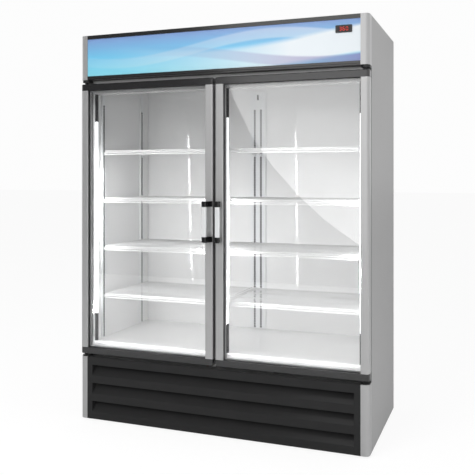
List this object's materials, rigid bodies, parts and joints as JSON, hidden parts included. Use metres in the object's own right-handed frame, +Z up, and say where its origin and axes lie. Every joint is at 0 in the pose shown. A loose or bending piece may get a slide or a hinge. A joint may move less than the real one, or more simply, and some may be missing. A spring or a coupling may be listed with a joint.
{
  "type": "refrigerated merchandiser",
  "caption": "Upright glass-door display refrigerator with lit header, wire shelves, louvered kick grille, swinging doors and a condensing unit in the base.",
  "frame": {"origin": "floor level under the middle of the cabinet with its handles", "axes": "+X to the viewer's right, +Y to the back, +Z up; the doors face -Y"},
  "size_m": [1.514, 0.786, 2.008],
  "materials": {
    "shell_grey": "satin grey powder coat",
    "galvanised": "galvanised sheet",
    "silver_frame": "satin anodised",
    "black_plastic": "glossy moulded",
    "handle_silver": "light satin",
    "white_liner": "glossy white paint",
    "dark_mullion": "dark moulded facing",
    "white_wire": "white epoxy coat",
    "clear_glass": "clear float glass",
    "seal_grey": "soft extruded seal",
    "bush_nylon": "nylon",
    "foam": "rigid foam",
    "sign_print": "printed translucent sheet",
    "lamp_white": "frosted lamp tube",
    "hinge_black": "black coat",
    "foot_rubber": "moulded foot",
    "compressor_black": "black enamel",
    "coil_aluminium": "bare fins",
    "motor_steel": "plain steel",
    "fan_plastic": "moulded",
    "copper_tube": "copper"
  },
  "bodies": {
    "cabinet": {"left_side_panel": "shell_grey", "right_side_panel": "shell_grey", "top_panel": "shell_grey", "rear_panel": "galvanised", "rear_machine_cover": "galvanised", "base_pan": "galvanised", "condenser_shroud": "galvanised", "condensate_pan": "galvanised", "rear_cover_screws": "galvanised", "control_box": "galvanised", "corner_posts": "silver_frame", "header_trims": "black_plastic", "front_grille": "black_plastic", "temperature_display": "black_plastic", "lamp_end_covers": "black_plastic", "cord_inlet": "black_plastic", "inner_liner": "white_liner", "shelf_standards": "white_liner", "shelf_clips": "white_liner", "front_frame": "white_liner", "evaporator_housing": "white_liner", "center_mullion": "dark_mullion", "left_shelf_1": "white_wire", "left_shelf_2": "white_wire", "left_shelf_3": "white_wire", "left_shelf_4": "white_wire", "right_shelf_1": "white_wire", "right_shelf_2": "white_wire", "right_shelf_3": "white_wire", "right_shelf_4": "white_wire", "insulation": "foam", "header_sign": "sign_print", "lamp_tubes": "lamp_white", "header_lamp": "lamp_white", "hinge_plates": "hinge_black", "header_housing": "hinge_black", "levelling_feet": "foot_rubber", "compressor": "compressor_black", "condenser_coil": "coil_aluminium", "evaporator_coil": "coil_aluminium", "condenser_fan_motor": "motor_steel", "evaporator_fan_motors": "motor_steel", "refrigerant_line": "copper_tube"},
    "left_door": {"left_door_stiles": "silver_frame", "left_door_rails": "black_plastic", "left_door_glass": "clear_glass", "left_door_gasket": "seal_grey", "left_door_bushes": "bush_nylon", "left_handle_brackets": "black_plastic", "left_handle_bar": "handle_silver"},
    "right_door": {"right_door_stiles": "silver_frame", "right_door_rails": "black_plastic", "right_door_glass": "clear_glass", "right_door_gasket": "seal_grey", "right_door_bushes": "bush_nylon", "right_handle_brackets": "black_plastic", "right_handle_bar": "handle_silver"},
    "condenser_fan_body": {"condenser_fan": "fan_plastic"},
    "left_fan_body": {"left_evaporator_fan": "fan_plastic"},
    "right_fan_body": {"right_evaporator_fan": "fan_plastic"}
  },
  "joints": [
    {"name": "left_door_hinge", "type": "hinge", "parent": "cabinet", "child": "left_door", "pos_m": [-0.735, -0.321, 0.345], "axis": [0, 0, -1], "range_deg": [0, 110]},
    {"name": "right_door_hinge", "type": "hinge", "parent": "cabinet", "child": "right_door", "pos_m": [0.735, -0.321, 0.345], "axis": [0, 0, 1], "range_deg": [0, 110]},
    {"name": "condenser_fan_spin", "type": "hinge", "parent": "cabinet", "child": "condenser_fan_body", "pos_m": [-0.417, -0.204, 0.15], "axis": [0, 1, 0], "continuous": true},
    {"name": "left_fan_spin", "type": "hinge", "parent": "cabinet", "child": "left_fan_body", "pos_m": [-0.28, 0.096, 1.8072], "axis": [0, 0, 1], "continuous": true},
    {"name": "right_fan_spin", "type": "hinge", "parent": "cabinet", "child": "right_fan_body", "pos_m": [0.28, 0.096, 1.8072], "axis": [0, 0, 1], "continuous": true}
  ]
}
